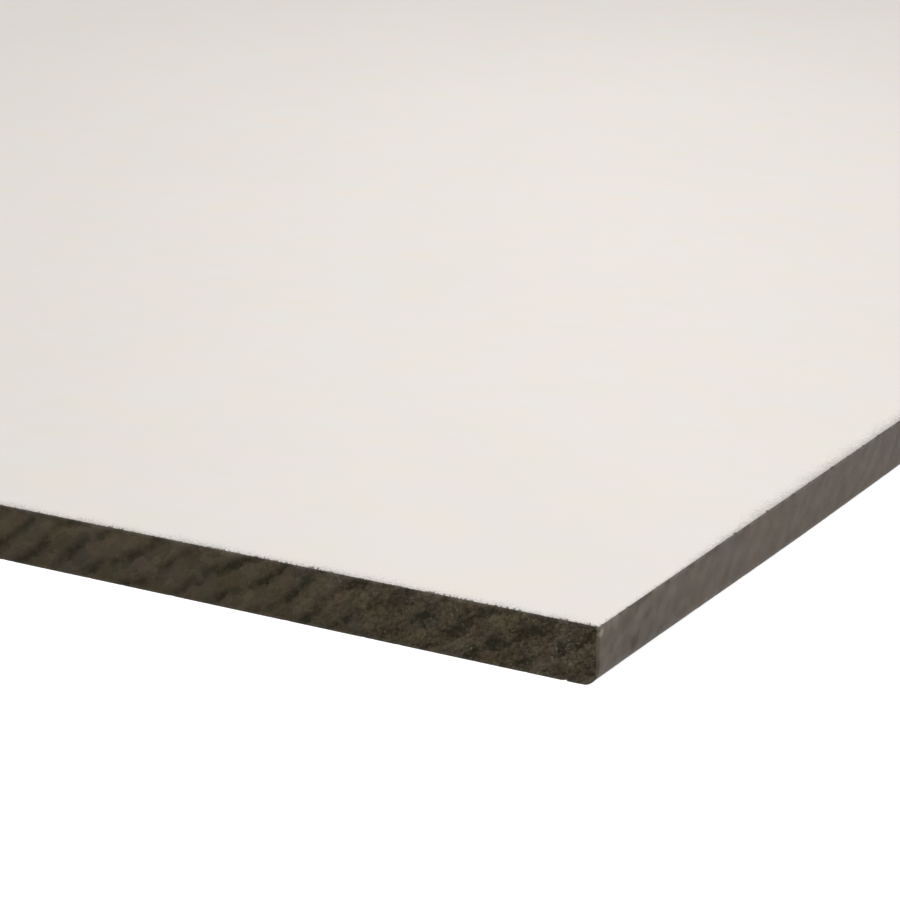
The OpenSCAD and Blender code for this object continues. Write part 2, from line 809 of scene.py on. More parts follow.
@dataclass
class Wiring:
    """Adds nodes to one tree and joins them up.

    Attributes:
        tree: The tree.
    """

    tree: bpy.types.NodeTree

    # How the nodes are laid out.
    NODES_IN_ROW = 8
    NODE_ROOM = (200, 240)
    # How far a seed moves noise along X, Y and Z.
    SEED_SHIFT = (1.0, 3.0, 7.0)
    # A mix of colours keeps its own sockets behind those that mix numbers and places.
    MIX_SHARE, MIX_FIRST, MIX_SECOND, MIX_RESULT = 0, 6, 7, 2

    def node(
        self, kind: str, inputs: dict[str | int, Number | Colour] | None = None,
        **settings: str | bpy.types.NodeTree,
    ) -> bpy.types.Node:
        """Adds a node.

        Args:
            kind: Its type, without the "ShaderNode" that all of them begin with.
            inputs: Values or sockets for its inputs, by name or number.
            **settings: Its own settings.

        Returns:
            The node.
        """
        row, column = divmod(len(self.tree.nodes), self.NODES_IN_ROW)
        node = self.tree.nodes.new("ShaderNode" + kind)
        node.location = (column * self.NODE_ROOM[0], -row * self.NODE_ROOM[1])
        for key, value in settings.items():
            setattr(node, key, value)
        for key, value in (inputs or {}).items():
            socket = node.inputs[key]
            if isinstance(value, Socket):
                self.tree.links.new(value, socket)
            elif socket.type == "RGBA":
                socket.default_value = (*value, 1.0)
            else:
                socket.default_value = value
        return node

    def math(self, operation: str, *values: Number) -> Socket:
        """Works a sum on numbers or sockets."""
        return self.node("Math", dict(enumerate(values)), operation=operation).outputs[0]

    def times(self, first: Number, second: Number) -> Socket:
        """Multiplies two values."""
        return self.math("MULTIPLY", first, second)

    def scaled(self, value: Number, by: Number, plus: Number = 0.0) -> Socket:
        """Multiplies a value and adds to it."""
        return self.math("MULTIPLY_ADD", value, by, plus)

    def between(self, share: Socket, low: float, high: float) -> Socket:
        """Goes evenly from low, where the share is 0, to high, where it is 1."""
        return self.scaled(share, high - low, low)

    def opposite(self, share: Socket) -> Socket:
        """Turns 0 into 1 and 1 into 0."""
        return self.math("SUBTRACT", 1.0, share)

    def rise(self, value: Socket, low: Number, high: Number) -> Socket:
        """Rises smoothly from 0 where the value is low to 1 where it is high."""
        inputs = {"Value": value, "From Min": low, "From Max": high}
        return self.node("MapRange", inputs, interpolation_type="SMOOTHSTEP").outputs[0]

    def place_math(self, operation: str, first: Socket, second: Socket | Point) -> Socket:
        """Works a sum on two places."""
        return self.node("VectorMath", {0: first, 1: second}, operation=operation).outputs[0]

    def flat_place(self, x: Socket, y: Socket) -> Socket:
        """Makes a place on a plane from two coordinates."""
        return self.node("CombineXYZ", {0: x, 1: y}).outputs[0]

    def mix(
        self, share: Number, first: Socket | Colour, second: Socket | Colour,
        way: str = "MIX",
    ) -> Socket:
        """Mixes two colours.

        Args:
            share: How much of the second colour goes in.
            first: The first colour.
            second: The second.
            way: How they are mixed.

        Returns:
            The mixed colour.
        """
        inputs = {self.MIX_SHARE: share, self.MIX_FIRST: first, self.MIX_SECOND: second}
        node = self.node("Mix", inputs, data_type="RGBA", blend_type=way)
        return node.outputs[self.MIX_RESULT]

    def noise(
        self, where: Socket, size: Number, detail: Number = 2.0, seed: float = 0.0
    ) -> Socket:
        """Samples noise of 0 to 1.

        Args:
            where: The place to sample it at.
            size: About how large its patches are.
            detail: How much finer structure they have.
            seed: Sets one use apart from another.

        Returns:
            The noise.
        """
        shift = tuple(seed * way for way in self.SEED_SHIFT)
        inputs = {
            "Vector": self.place_math("ADD", where, shift),
            "Scale": self.math("DIVIDE", 1.0, size), "Detail": detail,
        }
        return self.node("TexNoise", inputs).outputs[0]

    def group(self, made: bpy.types.NodeTree, inputs: dict[str, Number]) -> Outputs:
        """Places a node group and gives its outputs."""
        return self.node("Group", inputs, node_tree=made).outputs


@dataclass
class GroupSketch:
    """A node group in the making, with its named inputs and outputs.

    Attributes:
        name: The group's name.
        takes: Each input's name and starting value. A vector starts as a triple.
        gives: Names of the outputs that are numbers.
        gives_places: Names of the outputs that are vectors.
    """

    name: str
    takes: dict[str, float | Point]
    gives: tuple[str, ...]
    gives_places: tuple[str, ...] = ()

    def __post_init__(self) -> None:
        """Makes the empty group with its sockets."""
        self.tree = bpy.data.node_groups.new(self.name, "ShaderNodeTree")
        for name, value in self.takes.items():
            kind = "NodeSocketVector" if isinstance(value, tuple) else "NodeSocketFloat"
            socket = self.tree.interface.new_socket(name, in_out="INPUT", socket_type=kind)
            socket.default_value = value
        for names, kind in ((self.gives, "Float"), (self.gives_places, "Vector")):
            for name in names:
                self.tree.interface.new_socket(
                    name, in_out="OUTPUT", socket_type="NodeSocket" + kind
                )
        self.wires = Wiring(self.tree)
        self.given = self.tree.nodes.new("NodeGroupInput").outputs
        self.wanted = self.tree.nodes.new("NodeGroupOutput").inputs

    def finish(self, **results: Socket) -> bpy.types.NodeTree:
        """Joins the results to the outputs, whose spaces are _ here.

        Args:
            **results: A socket for each output.

        Returns:
            The group.
        """
        for name, socket in results.items():
            self.tree.links.new(socket, self.wanted[name.replace("_", " ")])
        return self.tree


class SheetEffects:
    """The shader node groups that the finishes share."""

    # What a place starts as.
    ORIGIN = (0.0, 0.0, 0.0)
    # Fibre: its noise, and how softly its hollows and tips begin.
    FIBRE_SEED = 1.7
    FIBRE_EDGE = 0.1
    # Flakes: the noise that bends their outline, about MIDDLE, and their seams' width.
    BEND_SCALE, BEND_DETAIL = 1.6, 3.0
    MIDDLE = (0.5, 0.5, 0.5)
    SEAM_WIDTH = 0.10
    # Hue drift: how its patches are drawn out, their noise levels and their noise.
    HUE_SQUEEZE = (0.75, 1.0, 1.0)
    HUE_LEVELS = (0.25, 0.75)
    YELLOW_SEED, GREEN_SEED = 31.0, 53.0
    # Ragged line: the noise of its teeth.
    TEETH_SEED = 5.0
    # Whiskers: how they curl, their noise, how softly they begin, the share of their
    # length that is at its full, and their least length.
    WHISKER_CURL = 0.15
    WHISKER_SEED, WHISKER_DETAIL = 19.0, 1.5
    WHISKER_EDGE = 0.25
    WHISKER_FULL = 0.25
    WHISKER_LEAST = 0.01

    def __init__(self, high: Vector) -> None:
        """Builds each group once.

        Args:
            high: The sheet's highest corner.
        """
        self.place = self.make_sheet_place(high * PER_METRE_MM)
        self.saw_grain = self.make_saw_grain()
        self.saw_marks = self.make_saw_marks()
        self.fibre_layer = self.make_fibre_layer()
        self.flakes = self.make_flakes()
        self.hue_drift = self.make_hue_drift()
        self.ragged_line = self.make_ragged_line()
        self.whiskers = self.make_whiskers()

    def make_sheet_place(self, high: Vector) -> bpy.types.NodeTree:
        """Makes the group that says where on the sheet a point is, in millimetres.

        Args:
            high: The sheet's highest corner, in millimetres.

        Returns:
            The group.
        """
        sketch = GroupSketch(
            "Sheet Place",
            {"Half Length": high.x, "Half Width": high.y, "Top": high.z},
            ("Along", "Height", "From Top", "From End", "From Side", "From Rim",
             "From Corner"),
            ("Spot", "Edge Spot"),
        )
        w, given = sketch.wires, sketch.given
        metres = w.node("TexCoord").outputs["Object"]
        spot = w.place_math("MULTIPLY", metres, (PER_METRE_MM,) * 3)
        x, y, z = w.node("SeparateXYZ", {0: spot}).outputs
        along = w.math("ADD", x, y)
        end = w.math("SUBTRACT", given["Half Length"], w.math("ABSOLUTE", x))
        side = w.math("SUBTRACT", given["Half Width"], w.math("ABSOLUTE", y))
        return sketch.finish(
            Along=along, Height=z, From_Top=w.math("SUBTRACT", given["Top"], z),
            From_End=end, From_Side=side, From_Rim=w.math("MINIMUM", end, side),
            From_Corner=w.math("MAXIMUM", end, side), Spot=spot,
            Edge_Spot=w.flat_place(along, z),
        )

    def make_saw_grain(self) -> bpy.types.NodeTree:
        """Makes the coordinates on an edge that run along a slant and across it.

        Returns:
            The group.
        """
        sketch = GroupSketch(
            "Saw Grain", {"Along": 0.0, "Height": 0.0, "Slant": 0.6}, (), ("Grain",)
        )
        w, given = sketch.wires, sketch.given
        sine = w.math("SINE", given["Slant"])
        cosine = w.math("COSINE", given["Slant"])
        across = w.math(
            "SUBTRACT", w.times(given["Along"], sine), w.times(given["Height"], cosine)
        )
        forward = w.math(
            "ADD", w.times(given["Along"], cosine), w.times(given["Height"], sine)
        )
        return sketch.finish(Grain=w.flat_place(forward, across))

    def make_saw_marks(self) -> bpy.types.NodeTree:
        """Makes the slanting blade marks, which Jog sets off in steps.

        Returns:
            The group.
        """
        sketch = GroupSketch(
            "Saw Marks",
            {"Grain": self.ORIGIN, "Along": 0.0, "Pitch": 9.0, "Slant": 0.6,
             "Width": 0.2, "Sway": 0.1, "Jog": 0.0},
            ("Marks",),
        )
        w, given = sketch.wires, sketch.given
        forward, across, _ = w.node("SeparateXYZ", {0: given["Grain"]}).outputs
        sine = w.math("SINE", given["Slant"])
        turn = w.math("DIVIDE", across, w.times(given["Pitch"], sine))
        sways = ((forward, SawMarks.SHORT_SWAY), (given["Along"], SawMarks.LONG_SWAY))
        for run, rate in sways:
            angle = w.times(w.math("DIVIDE", run, given["Pitch"]), rate)
            turn = w.scaled(w.math("SINE", angle), given["Sway"], turn)
        turn = w.math("ADD", turn, given["Jog"])
        share = w.math("SUBTRACT", w.math("FRACT", turn), 0.5)
        off = w.times(w.math("ABSOLUTE", share), 2.0)
        edge = w.times(given["Width"], 2.0)
        return sketch.finish(Marks=w.opposite(w.rise(off, 0.0, edge)))

    def make_fibre_layer(self) -> bpy.types.NodeTree:
        """Makes one layer of torn paper fibre, drawn out along the fibre's lie.

        Returns:
            The group.
        """
        sketch = GroupSketch(
            "Fibre Layer",
            {"Grain": self.ORIGIN, "Stretch": 2.0, "Size": 1.5, "Detail": 3.0,
             "Rarity": 0.16},
            ("Tone", "Hollows", "Tips"),
        )
        w, given = sketch.wires, sketch.given
        shrink = w.math("DIVIDE", 1.0, given["Stretch"])
        squeeze = w.node("CombineXYZ", {0: shrink, 1: 1.0, 2: 1.0}).outputs[0]
        where = w.place_math("MULTIPLY", given["Grain"], squeeze)
        cloud = w.noise(where, given["Size"], given["Detail"], self.FIBRE_SEED)
        tone = w.math("SUBTRACT", cloud, 0.5)
        fall = w.times(tone, -1.0)
        full = w.math("ADD", given["Rarity"], self.FIBRE_EDGE)
        return sketch.finish(
            Tone=tone, Hollows=w.rise(fall, given["Rarity"], full),
            Tips=w.rise(tone, given["Rarity"], full),
        )

    def make_flakes(self) -> bpy.types.NodeTree:
        """Makes torn flakes of paper, each with its own tone and darker toward its upper edge
        with painted shade.

        Returns:
            The group.
        """
        sketch = GroupSketch(
            "Torn Flakes",
            {"Grain": self.ORIGIN, "Stretch": 2.5, "Size": 1.0, "Bend": 0.5,
             "Overlap Shade": 0.5},
            ("Tone", "Seams"),
        )
        w, given = sketch.wires, sketch.given
        shrink = w.math("DIVIDE", 1.0, w.times(given["Size"], given["Stretch"]))
        flat = w.math("DIVIDE", 1.0, given["Size"])
        squeeze = w.node("CombineXYZ", {0: shrink, 1: flat, 2: flat}).outputs[0]
        where = w.place_math("MULTIPLY", given["Grain"], squeeze)
        warp = {"Vector": where, "Scale": self.BEND_SCALE, "Detail": self.BEND_DETAIL}
        stray = w.place_math("SUBTRACT", w.node("TexNoise", warp).outputs[1], self.MIDDLE)
        bend = w.node("VectorMath", {0: stray, 3: given["Bend"]}, operation="SCALE")
        where = w.place_math("ADD", where, bend.outputs[0])
        inputs = {"Vector": where, "Scale": 1.0}
        cells = w.node("TexVoronoi", inputs).outputs
        tone = w.node("SeparateColor", {0: cells["Color"]}).outputs[0]
        off = w.place_math("SUBTRACT", where, cells["Position"])
        rise = w.node("SeparateXYZ", {0: off}).outputs[1]
        tone = w.math("SUBTRACT", tone, 0.5)
        # Painted shade: each flake is darker toward its upper edge, as if under the next one.
        tone = w.scaled(rise, w.times(given["Overlap Shade"], -1.0), tone)
        edges = w.node("TexVoronoi", inputs, feature="DISTANCE_TO_EDGE").outputs["Distance"]
        return sketch.finish(
            Tone=tone, Seams=w.opposite(w.rise(edges, 0.0, self.SEAM_WIDTH))
        )

    def make_hue_drift(self) -> bpy.types.NodeTree:
        """Makes patches that say how yellow and how green a face is, about 0.5.

        Returns:
            The group.
        """
        sketch = GroupSketch(
            "Hue Drift", {"Grain": self.ORIGIN, "Size": 2.5}, ("Yellow", "Green")
        )
        w, given = sketch.wires, sketch.given
        where = w.place_math("MULTIPLY", given["Grain"], self.HUE_SQUEEZE)
        yellow, green = (
            w.rise(w.noise(where, given["Size"], seed=seed), *self.HUE_LEVELS)
            for seed in (self.YELLOW_SEED, self.GREEN_SEED)
        )
        return sketch.finish(Yellow=yellow, Green=green)

    def make_ragged_line(self) -> bpy.types.NodeTree:
        """Makes a ragged band that starts at distance 0 and ends near its width.

        Returns:
            The group.
        """
        sketch = GroupSketch(
            "Ragged Line",
            {"Where": self.ORIGIN, "Distance": 0.0, "Width": 0.12,
             "Raggedness": 0.1, "Tooth": 0.4, "Softness": 0.03},
            ("Mask",),
        )
        w, given = sketch.wires, sketch.given
        teeth = w.noise(given["Where"], given["Tooth"], seed=self.TEETH_SEED)
        sway = w.scaled(w.math("SUBTRACT", teeth, 0.5), given["Raggedness"], given["Width"])
        past = w.rise(
            given["Distance"], w.math("SUBTRACT", sway, given["Softness"]),
            w.math("ADD", sway, given["Softness"]),
        )
        return sketch.finish(Mask=w.opposite(past))

    def make_whiskers(self) -> bpy.types.NodeTree:
        """Makes fine torn fibres that lie over a face and point in from its rim.

        Returns:
            The group.
        """
        sketch = GroupSketch(
            "Whiskers",
            {"Along": 0.0, "Distance": 0.0, "Size": 0.3, "Lean": -0.4, "Reach": 1.5,
             "Rarity": 0.5},
            ("Mask",),
        )
        w, given = sketch.wires, sketch.given
        leaning = w.scaled(given["Distance"], given["Lean"], given["Along"])
        curl = w.times(given["Distance"], self.WHISKER_CURL)
        strands = w.noise(
            w.flat_place(leaning, curl), given["Size"], self.WHISKER_DETAIL,
            self.WHISKER_SEED,
        )
        full = w.math("ADD", given["Rarity"], self.WHISKER_EDGE)
        length = w.rise(strands, given["Rarity"], full)
        length = w.scaled(length, given["Reach"], self.WHISKER_LEAST)
        past = w.rise(given["Distance"], w.times(length, self.WHISKER_FULL), length)
        return sketch.finish(Mask=w.opposite(past))


def new_material(name: str) -> tuple[bpy.types.Material, Wiring]:
    """Makes an empty material.

    Args:
        name: The material's name.

    Returns:
        The material and its wiring.
    """
    material = bpy.data.materials.new(name)
    material.use_nodes = True
    material.node_tree.nodes.clear()
    return material, Wiring(material.node_tree)


def cover(
    w: Wiring, colour: Socket, roughness: Socket, height: Socket, bump_mm: float,
    specular: float,
) -> None:
    """Ends a material with its surface shader.

    Args:
        w: The material's wiring.
        colour: Its colour.
        roughness: Its roughness.
        height: Its fine relief.
        bump_mm: How high that relief is.
        specular: Its specular level, the same all over.
    """
    bump = w.node("Bump", {"Height": height, "Distance": bump_mm * MM}).outputs[0]
    shader = w.node("BsdfPrincipled", {
        "Base Color": colour, "Roughness": roughness, "Normal": bump,
        "Specular IOR Level": specular,
    })
    w.node("OutputMaterial", {"Surface": shader.outputs[0]})


def tinted(
    w: Wiring, colour: Socket, drift: Outputs, yellow: tuple[Colour, Colour],
    green: tuple[Colour, Colour],
) -> Socket:
    """Tints a colour in patches.

    Args:
        w: The material's wiring.
        colour: The colour.
        drift: The shares, by place, that the two pairs of tints are mixed in.
        yellow: The two tints that its yellow drifts between.
        green: The two that its green drifts between.

    Returns:
        The tinted colour.
    """
    for name, (first, last) in (("Yellow", yellow), ("Green", green)):
        colour = w.mix(1.0, colour, w.mix(drift[name], first, last), "MULTIPLY")
    return colour


@dataclass(frozen=True)
class Patches:
    """Patches of noise.

    Attributes:
        size_mm: Size of a patch.
        detail: How much finer structure it has.
        seed: Sets these patches apart from others.
        levels: Noise levels at which a patch begins and is at its full.
    """

    size_mm: float
    detail: float
    seed: float
    levels: tuple[float, float] = (0.0, 1.0)

    def noise(self, w: Wiring, where: Socket) -> Socket:
        """Gives the noise itself, from 0 to 1."""
        return w.noise(where, self.size_mm, self.detail, self.seed)

    def mask(self, w: Wiring, where: Socket) -> Socket:
        """Gives 1 in the patches and 0 between them."""
        return w.rise(self.noise(w, where), *self.levels)


@dataclass(frozen=True)
class Fibre:
    """One layer of torn fibre.

    Attributes:
        size_mm: Size of its patches.
        stretch: How far they are drawn out along the fibre's lie.
        weight: How much they lighten and darken.
        height: How much they stand up, as a share of the bump.
        rarity: How rare its hollows and tips are.
        detail: How much finer structure it has.
    """

    size_mm: float
    stretch: float
    weight: float
    height: float
    rarity: float = 0.16
    detail: float = 3.0

    def draw(self, w: Wiring, effects: SheetEffects, grain: Socket) -> Outputs:
        """Draws the layer.

        Args:
            w: The material's wiring.
            effects: The shared node groups.
            grain: The coordinates that it is drawn out along.

        Returns:
            Its tone, about 0, and its hollows and tips, by name.
        """
        return w.group(effects.fibre_layer, {
            "Grain": grain, "Stretch": self.stretch, "Size": self.size_mm,
            "Detail": self.detail, "Rarity": self.rarity,
        })


@dataclass(frozen=True)
class Flakes:
    """One layer of torn flakes.

    Attributes:
        size_mm: Size of one across the fibre's lie.
        stretch: How far they are drawn out along it.
        bend: How uneven their outline is.
        overlap_shade: How much darker a flake is at its upper edge: painted shade, as if
            under the next one.
        weight: How much they lighten and darken.
    """

    size_mm: float
    stretch: float
    bend: float
    overlap_shade: float
    weight: float

    def draw(self, w: Wiring, effects: SheetEffects, grain: Socket) -> Outputs:
        """Draws the layer.

        Args:
            w: The material's wiring.
            effects: The shared node groups.
            grain: The coordinates that it is drawn out along.

        Returns:
            Its tone, about 0, and the seams between its flakes, by name.
        """
        return w.group(effects.flakes, {
            "Grain": grain, "Stretch": self.stretch, "Size": self.size_mm,
            "Bend": self.bend, "Overlap Shade": self.overlap_shade,
        })


@dataclass(frozen=True)
class Ragged:
    """A ragged band beside a line, in millimetres.

    Attributes:
        width: How far from the line it reaches on average.
        raggedness: How unevenly it ends.
        tooth: Size of one tooth of its outline.
        softness: How softly it ends.
    """

    width: float
    raggedness: float
    tooth: float
    softness: float

    def mask(
        self, w: Wiring, effects: SheetEffects, where: Socket, distance: Socket,
        width: Socket | None = None,
    ) -> Socket:
        """Draws the band.

        Args:
            w: The material's wiring.
            effects: The shared node groups.
            where: The place that its teeth depend on.
            distance: The distance from the line.
            width: A socket that takes the place of its width.

        Returns:
            A socket that is 1 in the band and 0 outside it.
        """
        return w.group(effects.ragged_line, {
            "Where": where, "Distance": distance,
            "Width": self.width if width is None else width,
            "Raggedness": self.raggedness, "Tooth": self.tooth,
            "Softness": self.softness,
        })["Mask"]


@dataclass(frozen=True)
class DrawnEdge:
    """The layers of a sawn face, drawn in one material.

    Attributes:
        place: The sockets that say where a point is.
        stroke: The coordinates that run along the saw's marks.
        grain: The coordinates that run along the fibre's lie.
        breaks: The noise that breaks the marks off.
        crisp: How much is left of the finest grain, which fades from the corners.
        firm: How much is left of everything else.
        marks: The blade's marks.
        shards: The large flakes.
        chaff: The small flakes.
        lumps: The broad patches.
        scratches: The fine lines.
        specks: The finest grain.
        nibs: The short dashes.
    """

    place: Outputs
    stroke: Socket
    grain: Socket
    breaks: Socket
    crisp: Socket
    firm: Socket
    marks: Socket
    shards: Outputs
    chaff: Outputs
    lumps: Outputs
    scratches: Outputs
    specks: Outputs
    nibs: Outputs


@dataclass(frozen=True)
class SawnFinish:
    """The sawn face of the kraft core.

    Attributes:
        name: The material's name.
        marks: The blade's marks.
        lie: The angle that the torn fibre lies at, above the edge's length, in degrees.
        dark: Colour of the marks and hollows: partly the paper's own tone and partly painted
            shade of the relief.
        light: Colour of the raised fibre: partly the paper's own tone and partly a painted
            highlight of the relief.
        mark_weight: How much the marks darken.
        jog: How far each flake sets the marks off, in pitches.
        broken: Noise levels between which the marks break off.
        lumps: The broad patches.
        scratches: The fine lines.
        specks: The finest grain.
        nibs: The short dashes.
        nibs_lean: Whether those run along the fibre's lie and not upright.
        shards: The large flakes.
        chaff: The small flakes.
        pit: Colour of the painted shade in a pit, a hollow, a seam and the undercut, and of
            the scorched spots.
        fleck: Colour of a fleck.
        pit_shade_weight: How far a pit takes that colour, as painted shade.
        gouge_shade_weight: How far the hollow beside a dash does, as painted shade.
        seam_shade_weight: How far a seam between flakes does, as painted shadow.
        fleck_weight: How far a fleck does.
        greyer: Tints of the greyest and of the yellowest patches.
        redder: Tints of the reddest and of the greenest patches.
        drift_mm: Size of those patches.
        rim_highlight: How much paler the edges of the face are, as a painted highlight.
        scorch: How dark the scorched spots under the upper decor are.
        calm: How much the finest grain fades away from the corners.
        settle: How much everything else does.
        calm_mm: Where that begins and ends, from the nearest upright corner.
        roughness: Roughness of the surface.
        specular: Its specular level.
        bump_mm: Height of the bump.
        crushed_and_highlight: How much paler the crushed fibre is beside the upright corners,
            partly as a painted highlight of their rounding.
        knock: How much paler still it is where their upper end was knocked.
        undercut_shade_mm: How far in the rounding under an end reaches, or 0: that far in,
            painted shade darkens it.
        shade: How much darker that painted shade makes it.
        bruise: Colour of the fibre where the upper corners were knocked.
        rim_highlight_colour: Colour of the painted highlight along the edges of the face.
    """

    name: str
    marks: SawMarks
    lie: float
    dark: Colour
    light: Colour
    mark_weight: float
    jog: float
    broken: tuple[float, float]
    lumps: Fibre
    scratches: Fibre
    specks: Fibre
    nibs: Fibre
    nibs_lean: bool
    shards: Flakes
    chaff: Flakes
    pit: Colour
    fleck: Colour
    pit_shade_weight: float
    gouge_shade_weight: float
    seam_shade_weight: float
    fleck_weight: float
    greyer: tuple[Colour, Colour]
    redder: tuple[Colour, Colour]
    drift_mm: float
    rim_highlight: float
    scorch: float
    calm: float
    settle: float
    calm_mm: tuple[float, float]
    roughness: float
    specular: float
    bump_mm: float
    crushed_and_highlight: float
    knock: float
    undercut_shade_mm: float
    shade: float
    bruise: Colour
    rim_highlight_colour: Colour

    # The tone half way from dark to light.
    MIDDLE_TONE = 0.5
    # Where the marks break off, and where the pale flecks crowd.
    BREAKS = Patches(size_mm=3.1, detail=2.0, seed=77.0)
    CROWDS = Patches(size_mm=5.0, detail=2.0, seed=61.0, levels=(0.46, 0.60))
    # How deep the marks are and how much the large flakes stand up, of the bump.
    MARK_HEIGHT = 0.5
    SHARD_HEIGHT = 0.3
    # How much the finest grain changes the roughness.
    GRAIN_ROUGHNESS = 0.3
    # How strong the small flakes' seams of painted shadow are, and the levels of BREAKS that
    # open seams.
    CHAFF_SEAMS = 0.5
    SEAMED = (0.40, 0.62)
    # The painted highlight along the upper and lower edges of the face.
    RIM_HIGHLIGHT = Ragged(width=0.3, raggedness=0.5, tooth=0.8, softness=0.45)
    # The scorched spots, and the stretches that have them.
    SCORCHED = Ragged(width=0.7, raggedness=1.3, tooth=0.6, softness=0.15)
    SCORCHED_IN = Patches(size_mm=4.0, detail=1.0, seed=23.0, levels=(0.5, 0.62))
    # How far in the painted shade of the rounding under an end begins and is at its full.
    UNDERCUT_SHADE_MM = (0.02, 0.5)
    # The crushed fibre beside an upright corner, partly a painted highlight, the heights
    # between which it widens, and by how much.
    CRUSHED_AND_HIGHLIGHT = Ragged(width=1.0, raggedness=2.8, tooth=1.2, softness=0.8)
    CRUSHED_HIGHLIGHT_HEIGHTS_MM = (3.5, 8.5)
    CRUSHED_HIGHLIGHT_SPREAD_MM = 5.0
    # The knock, and how far its middle is from the side and from the top.
    KNOCKED = Ragged(width=0.65, raggedness=1.3, tooth=0.8, softness=0.35)
    KNOCK_AT_MM = (0.95, 1.15)
    # The strokes in it, how they are drawn out, and what is left between and on them.
    STROKES = Patches(size_mm=0.35, detail=1.0, seed=3.0, levels=(0.35, 0.55))
    STROKE_SQUEEZE = (0.3, 1.0, 1.0)
    STROKE_SHARES = (0.4, 1.0)

    def material(self, effects: SheetEffects) -> bpy.types.Material:
        """Makes the material.

        Args:
            effects: The shared node groups.

        Returns:
            The material.
        """
        material, w = new_material(self.name)
        drawn = self.draw(w, effects)
        colour = self.paper(w, effects, drawn)
        colour = self.pit_shade_and_flecks(w, drawn, colour)
        colour = self.wear_and_painted_light(w, effects, drawn, colour)
        rough = w.scaled(drawn.specks["Tone"], self.GRAIN_ROUGHNESS, self.roughness)
        height = self.relief(w, drawn)
        cover(w, colour, rough, height, self.bump_mm, self.specular)
        return material

    def draw(self, w: Wiring, effects: SheetEffects) -> DrawnEdge:
        """Draws the layers that the colour and the relief are made from.

        Args:
            w: The material's wiring.
            effects: The shared node groups.

        Returns:
            The layers.
        """
        place = w.group(effects.place, {})
        slant = math.radians(self.marks.slant)
        stroke, grain = (
            w.group(effects.saw_grain, {
                "Along": place["Along"], "Height": place["Height"], "Slant": angle,
            })["Grain"]
            for angle in (slant, math.radians(self.lie))
        )
        upright = w.flat_place(place["Height"], place["Along"])
        shards = self.shards.draw(w, effects, grain)
        marks = w.group(effects.saw_marks, {
            "Grain": stroke, "Along": place["Along"], "Pitch": self.marks.pitch_mm,
            "Slant": slant, "Width": self.marks.width, "Sway": self.marks.sway,
            "Jog": w.times(shards["Tone"], self.jog),
        })["Marks"]
        breaks = self.BREAKS.noise(w, place["Edge Spot"])
        away = w.rise(place["From Corner"], *self.calm_mm)
        return DrawnEdge(
            place=place, stroke=stroke, grain=grain, breaks=breaks,
            crisp=w.scaled(away, -self.calm, 1.0), firm=w.scaled(away, -self.settle, 1.0),
            marks=w.times(marks, w.rise(breaks, *self.broken)), shards=shards,
            chaff=self.chaff.draw(w, effects, grain),
            lumps=self.lumps.draw(w, effects, grain),
            scratches=self.scratches.draw(w, effects, grain),
            specks=self.specks.draw(w, effects, grain),
            nibs=self.nibs.draw(w, effects, grain if self.nibs_lean else upright),
        )

    def paper(self, w: Wiring, effects: SheetEffects, drawn: DrawnEdge) -> Socket:
        """Colours the torn paper between its dark and its light.

        Args:
            w: The material's wiring.
            effects: The shared node groups.
            drawn: The layers.

        Returns:
            The colour, without pits, flecks, scorching, knocks and painted light.
        """
        coarse = w.times(drawn.marks, -self.mark_weight)
        coarse = w.scaled(drawn.lumps["Tone"], self.lumps.weight, coarse)
        coarse = w.scaled(drawn.shards["Tone"], self.shards.weight, coarse)
        fine = w.times(drawn.specks["Tone"], self.specks.weight)
        fine = w.scaled(drawn.scratches["Tone"], self.scratches.weight, fine)
        fine = w.scaled(drawn.chaff["Tone"], self.chaff.weight, fine)
        fine = w.scaled(drawn.nibs["Tone"], self.nibs.weight, fine)
        tone = w.scaled(coarse, drawn.firm, self.MIDDLE_TONE)
        tone = w.node("Clamp", {"Value": w.scaled(fine, drawn.crisp, tone)}).outputs[0]
        # The tone follows the same layers as the bump, with hollows darker and raised fibre
        # paler: partly the paper's own tone, partly painted shade and highlight of the
        # relief.
        colour = w.mix(tone, self.dark, self.light)
        drift = w.group(effects.hue_drift, {"Grain": drawn.grain, "Size": self.drift_mm})
        return tinted(w, colour, drift, self.greyer, self.redder)

    def pit_shade_and_flecks(self, w: Wiring, drawn: DrawnEdge, colour: Socket) -> Socket:
        """Adds painted shade in the pits, the hollows beside the dashes and the seams between
        flakes, and the pale flecks.

        Args:
            w: The material's wiring.
            drawn: The layers.
            colour: The colour so far.

        Returns:
            The colour with them.
        """
        # Painted shade: the pits and the hollows beside the dashes are darkened toward the
        # pit colour.
        pits = w.times(drawn.specks["Hollows"], self.pit_shade_weight)
        gouges = w.times(drawn.nibs["Hollows"], self.gouge_shade_weight)
        # Painted shadow along the seams between flakes.
        seams = w.scaled(drawn.chaff["Seams"], self.CHAFF_SEAMS, drawn.shards["Seams"])
        seams = w.times(seams, w.rise(drawn.breaks, *self.SEAMED))
        seams = w.times(seams, self.seam_shade_weight)
        pits = w.math("MAXIMUM", w.math("MAXIMUM", pits, gouges), seams)
        colour = w.mix(w.times(pits, drawn.crisp), colour, self.pit)
        flecks = w.math("MAXIMUM", drawn.specks["Tips"], drawn.nibs["Tips"])
        flecks = w.times(flecks, self.CROWDS.mask(w, drawn.place["Edge Spot"]))
        flecks = w.times(w.times(flecks, drawn.crisp), self.fleck_weight)
        return w.mix(flecks, colour, self.fleck)

